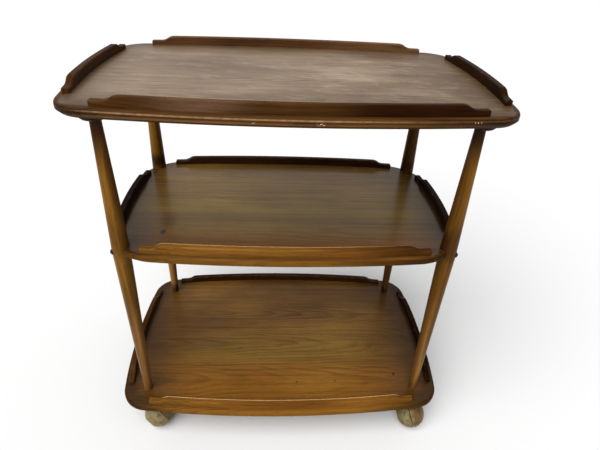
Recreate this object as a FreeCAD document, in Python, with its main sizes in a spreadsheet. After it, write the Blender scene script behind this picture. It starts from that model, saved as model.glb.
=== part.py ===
import FreeCAD, Part
import math
import os
import Sketcher

from FreeCAD import Placement, Rotation, Vector

# Driving dimensions of a three-tier serving trolley, in millimetres and degrees
SIZES = (
    # Top and bottom trays, at the middle of their bowed sides
    ("tray_length", 710.0),
    ("tray_depth", 446.0),
    ("tray_end_bow", 22.0),
    ("tray_side_bow", 25.5),
    ("tray_corner_radius", 58.0),
    # Middle tray, measured out from the faces of the legs that it stands between
    ("shelf_end_reach", 23.25),
    ("shelf_side_reach", 25.75),
    ("shelf_end_bow", 24.5),
    ("shelf_side_bow", 19.5),
    ("shelf_corner_radius", 98.0),
    # Boards and their levels: floor to bottom tray, then tray to tray
    ("board_thickness", 16.0),
    ("board_top_round", 6.0),
    ("board_under_bevel", 5.0),
    ("bottom_level", 92.0),
    ("shelf_rise", 382.0),
    ("top_rise", 265.0),
    # Gallery rails with ogee ends
    ("rail_height", 17.0),
    ("rail_thickness", 11.5),
    ("rail_margin", 9.0),
    ("rail_toe_height", 8.8),
    ("rail_toe_length", 18.0),
    ("rail_ogee_length", 26.0),
    ("rail_end_round", 2.0),
    ("rail_edge_bevel", 1.5),
    # What a rail leaves free at either end of its tray's length or depth
    ("tray_side_rail_gap", 73.0),
    ("tray_end_rail_gap", 75.0),
    ("shelf_side_rail_gap", 75.5),
    ("shelf_end_rail_gap", 79.0),
    # Turned legs, thickest where they pass the middle tray, set in from the trays' ends and sides
    ("leg_end_inset", 63.0),
    ("leg_side_inset", 66.0),
    ("leg_foot_diameter", 17.0),
    ("leg_waist_diameter", 30.5),
    ("leg_head_diameter", 17.5),
    ("tenon_diameter", 12.0),
    ("tenon_top_depth", 8.0),
    ("tenon_end_gap", 0.5),
    ("joint_clearance", 0.1),
    # Round pads between the leg tops and the top tray
    ("pad_diameter", 44.0),
    ("pad_thickness", 14.0),
    ("pad_bevel", 2.5),
    # Screws that hold the middle tray to the legs, and their domed caps
    ("shelf_screw_angle", 30.0),
    ("shelf_screw_diameter", 4.5),
    ("shelf_screw_head_diameter", 8.5),
    ("shelf_screw_head_height", 3.0),
    ("shelf_screw_bite", 30.0),
    ("shelf_screw_sink", 7.5),
    ("cap_diameter", 10.5),
    ("cap_dome_height", 3.2),
    # Hooded ball casters with a leaning wheel
    ("ball_diameter", 62.0),
    ("caster_trail", 26.0),
    ("caster_lean_angle", 20.0),
    ("slit_width", 1.6),
    ("hood_floor_gap", 6.0),
    ("hood_boss_diameter", 18.0),
    ("hood_boss_sink", 8.0),
    ("hood_wheel_gap", 1.2),
    ("oil_hole_diameter", 3.4),
    ("oil_hole_depth", 3.0),
    ("oil_hole_turn_angle", 27.0),
    ("oil_hole_lean_angle", 18.0),
    ("swivel_pin_diameter", 10.0),
    ("pin_end_wall", 2.0),
    ("swivel_gap", 0.5),
    ("running_clearance", 0.05),
    ("plate_diameter", 46.0),
    ("plate_thickness", 2.5),
    ("plate_screw_circle", 32.0),
    ("plate_screw_diameter", 3.8),
    ("plate_screw_head_diameter", 7.0),
    ("plate_screw_head_height", 2.2),
    ("plate_screw_bite", 11.0),
    ("axle_diameter", 8.0),
    ("axle_hood_depth", 16.0),
    ("axle_wheel_depth", 20.0),
    ("hub_boss_diameter", 16.0),
    ("hub_gap", 0.3),
    ("rim_width", 2.7),
    ("tyre_width", 14.0),
    ("tyre_seat_diameter", 46.0),
    ("wheel_face_diameter", 22.0),
    # Swivel of each caster at rest, from the long axis of the trolley
    ("front_left_swivel_angle", -40.0),
    ("front_right_swivel_angle", -92.0),
    ("back_left_swivel_angle", -64.0),
    ("back_right_swivel_angle", -78.0),
    # One overrun serves every cut
    ("cut_overrun", 2.0),
)

PLATE_SCREWS = 3

CORNERS = {
    "front_left": (-1, -1),
    "front_right": (1, -1),
    "back_left": (-1, 1),
    "back_right": (1, 1),
}

UP = Vector(0, 0, 1)
FULL_TURN = 360
QUARTER_TURN = 90
TOLERANCE_SHARE = 1e-4

# A sketch's own axes, and the ends and centre of what is drawn in it
X_AXIS_INDEX = -1
Y_AXIS_INDEX = -2
START_INDEX = 1
FINISH_INDEX = 2
CENTRE_INDEX = 3


class Size:
    """A number together with the sheet expression that gives it."""

    def __init__(self, value, text):
        self.value = value
        self.text = text

    def __add__(self, other):
        other = as_size(other)
        return Size(self.value + other.value, f"({self.text} + {other.text})")

    def __sub__(self, other):
        other = as_size(other)
        return Size(self.value - other.value, f"({self.text} - {other.text})")

    def __mul__(self, other):
        other = as_size(other)
        return Size(self.value * other.value, f"({self.text} * {other.text})")

    def __truediv__(self, other):
        other = as_size(other)
        return Size(self.value / other.value, f"({self.text} / {other.text})")

    def __neg__(self):
        return Size(-self.value, f"(-1 * {self.text})")


def as_size(number):
    """A Size as it is, or a plain number as a Size."""
    if isinstance(number, Size):
        return number
    return Size(float(number), repr(float(number)))


def root(size):
    """Square root of a Size."""
    return Size(math.sqrt(size.value), f"sqrt({size.text})")


def leg_of_triangle(hypotenuse, other_leg):
    """Remaining leg of a right-angled triangle."""
    return root(hypotenuse * hypotenuse - other_leg * other_leg)


class Dimensions:
    """The spreadsheet of driving dimensions, read by name."""

    def __init__(self, document, rows):
        self.sheet = document.addObject("Spreadsheet::Sheet", "dims")
        for row, (name, value) in enumerate(rows, start=1):
            self.sheet.set(f"A{row}", name)
            self.sheet.set(f"B{row}", repr(value))
            self.sheet.setAlias(f"B{row}", name)
        document.recompute()

    def __getattr__(self, name):
        return Size(float(self.sheet.get(name)), f"dims.{name}")


doc = FreeCAD.newDocument("serving_trolley")
dim = Dimensions(doc, SIZES)
ZERO = as_size(0)
sub_parts = []


# Sketching and features

def new_body(label):
    """An empty body named after the piece."""
    body = doc.addObject("PartDesign::Body", label)
    body.Label = label
    return body


def plane_of(body, role):
    """One of the body's own origin planes."""
    return next(item for item in body.Origin.OriginFeatures if item.Role == role)


def new_sketch(body, name, role):
    """A sketch on one of the body's origin planes."""
    sketch = body.newObject("Sketcher::SketchObject", name)
    sketch.AttachmentSupport = [(plane_of(body, role), "")]
    sketch.MapMode = "FlatFace"
    return sketch


def bind(item, **values):
    """Set properties to sizes and tie them to the sheet."""
    for name, size in values.items():
        setattr(item, name, size.value)
        item.setExpression(name, size.text)


def bind_constraint(sketch, size, *parts):
    """Add a dimension to a sketch and tie it to the sheet."""
    index = sketch.addConstraint(Sketcher.Constraint(*parts, size.value))
    sketch.setExpression(f"Constraints[{index}]", size.text)


def pin_point(sketch, geometry, end, point):
    """Hold one point of a sketch at a place given by two sizes."""
    for size, kind, axis in ((point[0], "DistanceX", Y_AXIS_INDEX), (point[1], "DistanceY", X_AXIS_INDEX)):
        if size is ZERO:
            sketch.addConstraint(Sketcher.Constraint("PointOnObject", geometry, end, axis))
        else:
            bind_constraint(sketch, size, kind, X_AXIS_INDEX, START_INDEX, geometry, end)


def flat(point):
    """Numbers of a pair of sizes, as a vector in the sketch."""
    return Vector(point[0].value, point[1].value, 0)


def add_line(sketch, start, finish):
    """Straight stretch; gives its index and which ends are first and last."""
    index = sketch.addGeometry(Part.LineSegment(flat(start), flat(finish)))
    return index, START_INDEX, FINISH_INDEX


def add_arc(sketch, start, finish, radius, left):
    """Round stretch of less than half a turn that bends left or right."""
    first = flat(start)
    last = flat(finish)
    chord = last - first
    across = Vector(-chord.y, chord.x, 0).normalize()
    rise = math.sqrt(radius.value ** 2 - chord.Length ** 2 / 4)
    centre = (first + last) / 2 + across * (rise if left else -rise)
    turns = [math.atan2(end.y - centre.y, end.x - centre.x) for end in (first, last)]
    if not left:
        turns.reverse()
    circle = Part.Circle(centre, UP, radius.value)
    index = sketch.addGeometry(Part.ArcOfCircle(circle, turns[0], turns[1]))
    ends = (START_INDEX, FINISH_INDEX) if left else (FINISH_INDEX, START_INDEX)
    bind_constraint(sketch, radius, "Radius", index)
    return (index,) + ends


def draw_outline(sketch, start, steps):
    """Closed outline: each step is a corner, or a corner, a radius and whether it bends left."""
    here = start
    stretches = []
    for step in steps:
        if len(step) == 2:
            stretches.append(add_line(sketch, here, step) + (here,))
            here = step
        else:
            corner, radius, left = step
            stretches.append(add_arc(sketch, here, corner, radius, left) + (here,))
            here = corner
    for number, (index, first, last, corner) in enumerate(stretches):
        follower = stretches[(number + 1) % len(stretches)]
        sketch.addConstraint(Sketcher.Constraint("Coincident", index, last, follower[0], follower[1]))
        pin_point(sketch, index, first, corner)


def draw_circle(sketch, centre, radius):
    """Circle held at its centre."""
    index = sketch.addGeometry(Part.Circle(flat(centre), UP, radius.value))
    pin_point(sketch, index, CENTRE_INDEX, centre)
    bind_constraint(sketch, radius, "Radius", index)


def pad(body, sketch, length):
    """Board or block raised from a sketch."""
    feature = body.newObject("PartDesign::Pad", "pad")
    feature.Profile = sketch
    bind(feature, Length=length)
    doc.recompute()
    return feature


def pocket(body, sketch, depth=None, upward=False):
    """Cut of a given depth, or right through both ways when no depth is given."""
    before = body.Shape.Volume
    feature = body.newObject("PartDesign::Pocket", "pocket")
    feature.Profile = sketch
    if depth is None:
        feature.Type = "ThroughAll"
        feature.SideType = "Symmetric"
    else:
        bind(feature, Length=depth)
        feature.Reversed = upward
    doc.recompute()
    if body.Shape.Volume >= before:
        raise RuntimeError(f"a cut in {body.Label} removed nothing")
    return feature


def turned(label, start, steps):
    """Body of revolution about its own Z axis, from an outline in radius and height."""
    body = new_body(label)
    sketch = new_sketch(body, "profile", "XZ_Plane")
    draw_outline(sketch, start, steps)
    feature = body.newObject("PartDesign::Revolution", "turning")
    feature.Profile = sketch
    feature.ReferenceAxis = (sketch, ["V_Axis"])
    feature.Angle = FULL_TURN
    doc.recompute()
    return body


def edges_at(shape, height):
    """Names of the edges that lie in one level plane."""
    slack = dim.board_thickness.value * TOLERANCE_SHARE
    names = []
    for number, edge in enumerate(shape.Edges, start=1):
        box = edge.BoundBox
        if abs(box.ZMin - height) < slack and abs(box.ZMax - height) < slack:
            names.append(f"Edge{number}")
    return names


def place(item, x, y, z, rotation=Rotation()):
    """Move a piece to its place in the trolley and tie the place to the sheet."""
    item.Placement = Placement(Vector(x.value, y.value, z.value), rotation)
    for axis, size in (("x", x), ("y", y), ("z", z)):
        item.setExpression(f"Placement.Base.{axis}", size.text)


def keep(item, label):
    """Name a finished piece and list it for writing."""
    item.Label = label
    sub_parts.append(item)
    return item


def group(label, items):
    """Several like pieces kept together as separate solids."""
    compound = doc.addObject("Part::Compound", label)
    compound.Links = items
    return keep(compound, label)


# Levels and places that several pieces share

LEG_SPREAD = dim.tray_length - dim.leg_end_inset * 2
LEG_GAUGE = dim.tray_depth - dim.leg_side_inset * 2
SHELF_LENGTH = LEG_SPREAD + dim.leg_waist_diameter + dim.shelf_end_reach * 2
SHELF_DEPTH = LEG_GAUGE + dim.leg_waist_diameter + dim.shelf_side_reach * 2

TRAY_PLAN = {
    "length": dim.tray_length,
    "depth": dim.tray_depth,
    "end_bow": dim.tray_end_bow,
    "side_bow": dim.tray_side_bow,
    "corner": dim.tray_corner_radius,
    "side_rail": dim.tray_length - dim.tray_side_rail_gap * 2,
    "end_rail": dim.tray_depth - dim.tray_end_rail_gap * 2,
}

SHELF_PLAN = {
    "length": SHELF_LENGTH,
    "depth": SHELF_DEPTH,
    "end_bow": dim.shelf_end_bow,
    "side_bow": dim.shelf_side_bow,
    "corner": dim.shelf_corner_radius,
    "side_rail": SHELF_LENGTH - dim.shelf_side_rail_gap * 2,
    "end_rail": SHELF_DEPTH - dim.shelf_end_rail_gap * 2,
}

SHELF_LEVEL = dim.bottom_level + dim.shelf_rise
TOP_LEVEL = SHELF_LEVEL + dim.top_rise
TRAYS = {
    "top": (TRAY_PLAN, TOP_LEVEL),
    "middle": (SHELF_PLAN, SHELF_LEVEL),
    "bottom": (TRAY_PLAN, dim.bottom_level),
}


def leg_axis(corner):
    """Place of a leg's axis in the plan."""
    side, front = CORNERS[corner]
    return LEG_SPREAD * side / 2, LEG_GAUGE * front / 2


def bow_radius(chord, bow):
    """Radius of an arc from its chord and how far it bows."""
    return (chord * chord / 4 + bow * bow) / (bow * 2)


def side_radius(plan):
    return bow_radius(plan["length"], plan["side_bow"])


def end_radius(plan):
    return bow_radius(plan["depth"], plan["end_bow"])


# Trays

def corner_centre(side_centre, side_reach, end_centre, end_reach):
    """Where a corner arc's centre lies, from the two bowed edges that it joins."""
    between = side_centre - end_centre
    distance = between.Length
    along = (end_reach ** 2 - side_reach ** 2 + distance ** 2) / (2 * distance)
    across = math.sqrt(end_reach ** 2 - along ** 2)
    direction = between / distance
    return end_centre + direction * along + Vector(-direction.y, direction.x, 0) * across


def arc_between(centre, radius, first, last):
    """Arc about a centre, anticlockwise from one point to another."""
    turns = [math.atan2(end.y - centre.y, end.x - centre.x) for end in (first, last)]
    return Part.ArcOfCircle(Part.Circle(centre, UP, radius), turns[0], turns[1])


def draw_tray_outline(sketch, plan):
    """Four bowed edges joined by four round corners that they meet smoothly."""
    side = side_radius(plan)
    end = end_radius(plan)
    corner = plan["corner"]
    end_offset = plan["length"] / 2 - end
    side_offset = plan["depth"] / 2 - side
    end_centre = Vector(end_offset.value, 0, 0)
    side_centre = Vector(0, side_offset.value, 0)
    middle = corner_centre(
        side_centre, side.value - corner.value, end_centre, end.value - corner.value)
    if middle.y < 0:
        middle = Vector(middle.x, -middle.y, 0)
    on_end = end_centre + (middle - end_centre).normalize() * end.value
    on_side = side_centre + (middle - side_centre).normalize() * side.value

    def mirrored(point, x_sign, y_sign):
        return Vector(point.x * x_sign, point.y * y_sign, 0)

    arcs = []
    for x_sign, y_sign in ((1, 1), (-1, 1), (-1, -1), (1, -1)):
        end_first = x_sign == y_sign
        stops = [mirrored(on_end, x_sign, y_sign), mirrored(on_side, x_sign, y_sign)]
        if not end_first:
            stops.reverse()
        arcs.append((mirrored(middle, x_sign, y_sign), corner, stops[0], stops[1]))
        if end_first:
            stops = [mirrored(on_side, x_sign, y_sign), mirrored(on_side, -x_sign, y_sign)]
            arcs.append((mirrored(side_centre, 1, y_sign), side, stops[0], stops[1]))
        else:
            stops = [mirrored(on_end, x_sign, y_sign), mirrored(on_end, x_sign, -y_sign)]
            arcs.append((mirrored(end_centre, x_sign, 1), end, stops[0], stops[1]))

    for centre, radius, first, last in arcs:
        sketch.addGeometry(arc_between(centre, radius.value, first, last))
    for number, arc in enumerate(arcs):
        follower = (number + 1) % len(arcs)
        sketch.addConstraint(Sketcher.Constraint("Tangent", number, FINISH_INDEX, follower, START_INDEX))
        bind_constraint(sketch, arc[1], "Radius", number)
    for number, x, y in (
            (1, ZERO, side_offset), (3, -end_offset, ZERO),
            (5, ZERO, -side_offset), (7, end_offset, ZERO)):
        pin_point(sketch, number, CENTRE_INDEX, (x, y))


def board(label, plan):
    """Bowed board with a rounded upper edge and a bevel beneath; its underside is at zero."""
    body = new_body(label)
    outline = new_sketch(body, "outline", "XY_Plane")
    draw_tray_outline(outline, plan)
    raised = pad(body, outline, dim.board_thickness)
    rounding = body.newObject("PartDesign::Fillet", "upper_edge")
    rounding.Base = (raised, edges_at(raised.Shape, dim.board_thickness.value))
    bind(rounding, Radius=dim.board_top_round)
    doc.recompute()
    bevel = body.newObject("PartDesign::Chamfer", "lower_edge")
    bevel.Base = (rounding, edges_at(rounding.Shape, 0))
    bind(bevel, Size=dim.board_under_bevel)
    doc.recompute()
    return body


def tenon_holes(body, depth=None):
    """Four holes for the leg tenons, cut from the underside."""
    sketch = new_sketch(body, "tenon_holes", "XY_Plane")
    for corner in CORNERS:
        draw_circle(sketch, leg_axis(corner), dim.tenon_diameter / 2 + dim.joint_clearance)
    pocket(body, sketch, depth, upward=True)


def make_top_tray():
    """Top tray, with blind holes for the leg tops."""
    body = board("top_tray", TRAY_PLAN)
    tenon_holes(body, dim.tenon_top_depth + dim.tenon_end_gap)
    place(body, ZERO, ZERO, TOP_LEVEL - dim.board_thickness)
    keep(body, "top_tray")


def plate_screw_places(corner):
    """Places of one caster plate's screws in the plan."""
    x, y = leg_axis(corner)
    places = []
    for number in range(PLATE_SCREWS):
        turn = 2 * math.pi * number / PLATE_SCREWS
        reach = dim.plate_screw_circle / 2
        places.append((x + reach * math.cos(turn), y + reach * math.sin(turn)))
    return places


def make_bottom_tray():
    """Bottom tray, with through holes for the leg feet and pilot holes for the plates."""
    body = board("bottom_tray", TRAY_PLAN)
    tenon_holes(body)
    pilots = new_sketch(body, "pilot_holes", "XY_Plane")
    for corner in CORNERS:
        for centre in plate_screw_places(corner):
            draw_circle(pilots, centre, dim.plate_screw_diameter / 2 + dim.joint_clearance)
    pocket(body, pilots, dim.plate_screw_bite + dim.tenon_end_gap, upward=True)
    place(body, ZERO, ZERO, dim.bottom_level - dim.board_thickness)
    keep(body, "bottom_tray")


def screw_direction(corner):
    """Outward direction of the screw that holds the middle tray to a leg."""
    side, front = CORNERS[corner]
    turn = math.radians(dim.shelf_screw_angle.value)
    return Vector(side * math.cos(turn), front * math.sin(turn), 0)


def make_middle_tray():
    """Middle tray, let in around the legs, drilled for its screws and kept clear of their caps."""
    body = board("middle_board", SHELF_PLAN)
    place(body, ZERO, ZERO, SHELF_LEVEL - dim.board_thickness)
    tools = []
    for corner in CORNERS:
        x, y = leg_axis(corner)
        recess = doc.addObject("Part::Cylinder", "leg_recess")
        bind(
            recess,
            Radius=dim.leg_waist_diameter / 2 + dim.joint_clearance,
            Height=dim.board_thickness + dim.cut_overrun * 2)
        place(recess, x, y, SHELF_LEVEL - dim.board_thickness - dim.cut_overrun)
        pilot = doc.addObject("Part::Cylinder", "screw_pilot")
        bind(
            pilot,
            Radius=dim.shelf_screw_diameter / 2 + dim.joint_clearance,
            Height=dim.leg_waist_diameter / 2 + dim.shelf_screw_bite + dim.tenon_end_gap)
        middle = SHELF_LEVEL - dim.board_thickness / 2
        outward = screw_direction(corner)
        place(pilot, x, y, middle, Rotation(UP, outward * -1))
        cap_room = doc.addObject("Part::Cylinder", "cap_room")
        bind(
            cap_room,
            Radius=dim.cap_diameter / 2 + dim.joint_clearance,
            Height=dim.leg_waist_diameter + dim.cap_dome_height)
        place(cap_room, x, y, middle, Rotation(UP, outward))
        tools += [recess, pilot, cap_room]
    cuts = doc.addObject("Part::MultiFuse", "middle_tray_cuts")
    cuts.Shapes = tools
    tray = doc.addObject("Part::Cut", "middle_tray")
    tray.Base = body
    tray.Tool = cuts
    doc.recompute()
    keep(tray, "middle_tray")


# Gallery rails

RAIL_TURNS = {"front": 0, "right": QUARTER_TURN, "back": QUARTER_TURN * 2, "left": QUARTER_TURN * 3}


def draw_rail_plan(sketch, reach, radius, length):
    """Plan of a rail: a band that keeps a set margin from the bowed edge."""
    centre = radius - reach
    outer = radius - dim.rail_margin
    inner = outer - dim.rail_thickness
    half = length / 2
    outer_y = centre - leg_of_triangle(outer, half)
    inner_y = centre - leg_of_triangle(inner, half)
    draw_outline(
        sketch, (-half, outer_y), (
            ((half, outer_y), outer, True),
            (half, inner_y),
            ((-half, inner_y), inner, False),
            (-half, outer_y)))


def draw_rail_end(sketch, length, side):
    """What is cut away above one ogee end, on the left or right."""
    drop = dim.rail_height - dim.rail_toe_height
    ogee = dim.rail_ogee_length
    sweep = (ogee * ogee + drop * drop) / (drop * 4)
    end = length / 2
    toe = end - dim.rail_toe_length
    crest = toe - ogee
    right = side > 0

    def at(x, z):
        return x * side, z

    corner = dim.rail_end_round
    draw_outline(
        sketch, at(crest, dim.rail_height), (
            (at(crest + ogee / 2, dim.rail_height - drop / 2), sweep, not right),
            (at(toe, dim.rail_toe_height), sweep, right),
            at(end - corner, dim.rail_toe_height),
            (at(end, dim.rail_toe_height - corner), corner, not right),
            at(end + dim.cut_overrun, dim.rail_toe_height - corner),
            at(end + dim.cut_overrun, dim.rail_height + dim.cut_overrun),
            at(crest, dim.rail_height + dim.cut_overrun),
            at(crest, dim.rail_height)))


def rail_edges(shape):
    """Edges along the upper profile and down the ends, on both faces of a rail."""
    slack = dim.rail_height.value * TOLERANCE_SHARE
    names = []
    for number, edge in enumerate(shape.Edges, start=1):
        box = edge.BoundBox
        across = box.YLength > box.XLength and box.ZLength < slack
        if box.ZMax > slack and not across:
            names.append(f"Edge{number}")
    return names


def make_rail(tray, position):
    """One gallery rail: bowed with its tray's edge and lowered at both ends by an ogee."""
    plan, level = TRAYS[tray]
    along_side = position in ("front", "back")
    length = plan["side_rail"] if along_side else plan["end_rail"]
    reach = (plan["depth"] if along_side else plan["length"]) / 2
    radius = side_radius(plan) if along_side else end_radius(plan)
    label = f"{tray}_gallery_{position}"
    body = new_body(label)
    band = new_sketch(body, "band", "XY_Plane")
    draw_rail_plan(band, reach, radius, length)
    pad(body, band, dim.rail_height)
    ends = new_sketch(body, "ogee_ends", "XZ_Plane")
    for side in (-1, 1):
        draw_rail_end(ends, length, side)
    shaped = pocket(body, ends)
    bevel = body.newObject("PartDesign::Chamfer", "eased_edges")
    bevel.Base = (shaped, rail_edges(shaped.Shape))
    bind(bevel, Size=dim.rail_edge_bevel)
    doc.recompute()
    place(body, ZERO, ZERO, level, Rotation(UP, RAIL_TURNS[position]))
    keep(body, label)


# Legs, pads and the middle tray's fixings

def make_leg(corner):
    """Turned leg: a double taper with a tenon at each end, drilled for the tray screw."""
    foot = dim.leg_foot_diameter / 2
    waist = dim.leg_waist_diameter / 2
    head = dim.leg_head_diameter / 2
    tenon = dim.tenon_diameter / 2
    pad_bottom = dim.shelf_rise + dim.top_rise - dim.board_thickness - dim.pad_thickness
    tenon_top = pad_bottom + dim.pad_thickness + dim.tenon_top_depth
    tenon_bottom = dim.tenon_end_gap - dim.board_thickness
    label = f"{corner}_leg"
    body = turned(
        label, (ZERO, tenon_bottom), (
            (tenon, tenon_bottom),
            (tenon, ZERO),
            (foot, ZERO),
            (waist, dim.shelf_rise - dim.board_thickness),
            (waist, dim.shelf_rise),
            (head, pad_bottom),
            (tenon, pad_bottom),
            (tenon, tenon_top),
            (ZERO, tenon_top),
            (ZERO, tenon_bottom)))
    screw_height = dim.shelf_rise - dim.board_thickness / 2
    through = new_sketch(body, "screw_hole", "YZ_Plane")
    draw_circle(through, (ZERO, screw_height), dim.shelf_screw_diameter / 2 + dim.joint_clearance)
    pocket(body, through)
    sink = new_sketch(body, "cap_hole", "YZ_Plane")
    sink.AttachmentOffset = Placement(Vector(0, 0, waist.value - dim.shelf_screw_sink.value), Rotation())
    sink.setExpression("AttachmentOffset.Base.z", (waist - dim.shelf_screw_sink).text)
    draw_circle(sink, (ZERO, screw_height), dim.cap_diameter / 2 + dim.joint_clearance)
    pocket(body, sink, dim.shelf_screw_sink + dim.cut_overrun, upward=True)
    x, y = leg_axis(corner)
    place(body, x, y, dim.bottom_level, Rotation(Vector(1, 0, 0), screw_direction(corner)))
    keep(body, label)


def make_pad(corner):
    """Round pad under the top tray, bevelled at its lower rim."""
    outer = dim.pad_diameter / 2
    bore = dim.tenon_diameter / 2 + dim.joint_clearance
    bottom = -dim.pad_thickness
    label = f"{corner}_leg_pad"
    body = turned(
        label, (bore, bottom), (
            (outer - dim.pad_bevel, bottom),
            (outer, bottom + dim.pad_bevel),
            (outer, ZERO),
            (bore, ZERO),
            (bore, bottom)))
    x, y = leg_axis(corner)
    place(body, x, y, TOP_LEVEL - dim.board_thickness)
    keep(body, label)


def shelf_fixing(body, corner):
    """Put a screw or cap on its axis through a leg, with its origin on the leg's axis."""
    x, y = leg_axis(corner)
    place(body, x, y, SHELF_LEVEL - dim.board_thickness / 2, Rotation(UP, screw_direction(corner)))
    return body


def make_shelf_fixings():
    """Screws through the legs into the middle tray, and the domed caps over them."""
    waist = dim.leg_waist_diameter / 2
    seat = waist - dim.shelf_screw_sink
    head_top = seat + dim.shelf_screw_head_height
    tip = -(waist + dim.shelf_screw_bite)
    shank = dim.shelf_screw_diameter / 2
    head = dim.shelf_screw_head_diameter / 2
    cap = dim.cap_diameter / 2
    dome = dim.cap_dome_height
    dome_radius = (cap * cap + dome * dome) / (dome * 2)
    screws = []
    caps = []
    for corner in CORNERS:
        screw = turned(
            f"{corner}_shelf_screw", (ZERO, tip), (
                (shank, tip),
                (shank, seat),
                (head, seat),
                (head, head_top),
                (ZERO, head_top),
                (ZERO, tip)))
        screws.append(shelf_fixing(screw, corner))
        cover = turned(
            f"{corner}_screw_cap", (ZERO, head_top), (
                (cap, head_top),
                (cap, waist),
                ((ZERO, waist + dome), dome_radius, True),
                (ZERO, head_top)))
        caps.append(shelf_fixing(cover, corner))
    group("middle_tray_screws", screws)
    group("screw_caps", caps)


# Casters

BALL_RADIUS = dim.ball_diameter / 2
SLIT_HALF = dim.slit_width / 2
PLATE_TOP = dim.bottom_level - dim.board_thickness
PLATE_BOTTOM = PLATE_TOP - dim.plate_thickness
LEAN = math.radians(dim.caster_lean_angle.value)
PIN_HOLE_RADIUS = dim.swivel_pin_diameter / 2 + dim.running_clearance

# The pin ends above the leaning slit, with a wall of the hood below its hole
PIN_ROOM = PIN_HOLE_RADIUS * math.cos(LEAN) + SLIT_HALF + dim.pin_end_wall
PIN_BOTTOM = BALL_RADIUS + PIN_ROOM / math.sin(LEAN) + dim.swivel_gap


def trail_direction(corner):
    """Level direction from the swivel axis towards the ball."""
    turn = math.radians(getattr(dim, f"{corner}_swivel_angle").value)
    return Vector(math.cos(turn), math.sin(turn), 0)


def wheel_rotation(corner):
    """Rotation that lays a piece's Z axis along the axle, leaning down to the wheel's side."""
    trail = trail_direction(corner)
    sideways = Vector(trail.y, -trail.x, 0)
    axle = sideways * math.cos(LEAN) - UP * math.sin(LEAN)
    return Rotation(trail, axle.cross(trail), axle, "ZXY")


def ball_centre(corner):
    """Place of the ball's centre."""
    x, y = leg_axis(corner)
    trail = trail_direction(corner)
    return x + dim.caster_trail * trail.x, y + dim.caster_trail * trail.y, BALL_RADIUS


def make_plate(corner):
    """Round plate under the bottom tray that carries the swivel pin."""
    label = f"{corner}_caster_plate"
    body = new_body(label)
    disc = new_sketch(body, "disc", "XY_Plane")
    draw_circle(disc, (ZERO, ZERO), dim.plate_diameter / 2)
    draw_circle(disc, (ZERO, ZERO), PIN_HOLE_RADIUS)
    pad(body, disc, dim.plate_thickness)
    holes = new_sketch(body, "screw_holes", "XY_Plane")
    for number in range(PLATE_SCREWS):
        turn = 2 * math.pi * number / PLATE_SCREWS
        reach = dim.plate_screw_circle / 2
        centre = (reach * math.cos(turn), reach * math.sin(turn))
        draw_circle(holes, centre, dim.plate_screw_diameter / 2 + dim.joint_clearance)
    pocket(body, holes)
    x, y = leg_axis(corner)
    place(body, x, y, PLATE_BOTTOM)
    keep(body, label)


def make_swivel_pin(corner):
    """Upright pin on which the hood turns."""
    label = f"{corner}_swivel_pin"
    pin = doc.addObject("Part::Cylinder", label)
    bind(pin, Radius=dim.swivel_pin_diameter / 2, Height=PLATE_TOP - PIN_BOTTOM)
    x, y = leg_axis(corner)
    place(pin, x, y, PIN_BOTTOM)
    keep(pin, label)


def make_axle(corner):
    """Leaning axle, fixed in the hood, on which the wheel turns."""
    label = f"{corner}_axle"
    axle = doc.addObject("Part::Cylinder", label)
    bind(axle, Radius=dim.axle_diameter / 2, Height=dim.axle_hood_depth + dim.axle_wheel_depth)
    x, y, z = ball_centre(corner)
    rotation = wheel_rotation(corner)
    start = rotation.multVec(UP) * -1
    back = dim.axle_hood_depth
    place(axle, x + back * start.x, y + back * start.y, z + back * start.z, rotation)
    keep(axle, label)


def ball_zone(height):
    """Radius of the ball at a distance from its middle, along the axle."""
    return leg_of_triangle(BALL_RADIUS, height)


def make_wheel(corner):
    """Leaning wheel: one part of the ball, with a rim, a tyre seat and a domed face."""
    bore = dim.axle_diameter / 2 + dim.running_clearance
    bore_end = dim.axle_wheel_depth + dim.swivel_gap
    hub = dim.hub_boss_diameter / 2
    hub_face = dim.hub_gap - SLIT_HALF
    rim = SLIT_HALF + dim.rim_width
    seat = dim.tyre_seat_diameter / 2
    shoulder = rim + dim.tyre_width
    face_radius = dim.wheel_face_diameter / 2
    face = leg_of_triangle(BALL_RADIUS, face_radius)
    label = f"{corner}_wheel"
    body = turned(
        label, (bore, hub_face), (
            (hub, hub_face),
            (hub, SLIT_HALF),
            (ball_zone(SLIT_HALF), SLIT_HALF),
            ((ball_zone(rim), rim), BALL_RADIUS, True),
            (seat, rim),
            (seat, shoulder),
            (ball_zone(shoulder), shoulder),
            ((face_radius, face), BALL_RADIUS, True),
            (ZERO, face),
            (ZERO, bore_end),
            (bore, bore_end),
            (bore, hub_face)))
    place(body, *ball_centre(corner), wheel_rotation(corner))
    keep(body, label)


def make_tyre(corner):
    """Tyre that fills the wheel's seat and keeps to the ball's surface."""
    rim = SLIT_HALF + dim.rim_width + dim.joint_clearance
    shoulder = SLIT_HALF + dim.rim_width + dim.tyre_width - dim.joint_clearance
    seat = dim.tyre_seat_diameter / 2 + dim.joint_clearance
    label = f"{corner}_tyre"
    body = turned(
        label, (seat, rim), (
            (ball_zone(rim), rim),
            ((ball_zone(shoulder), shoulder), BALL_RADIUS, True),
            (seat, shoulder),
            (seat, rim)))
    place(body, *ball_centre(corner), wheel_rotation(corner))
    keep(body, label)


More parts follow.
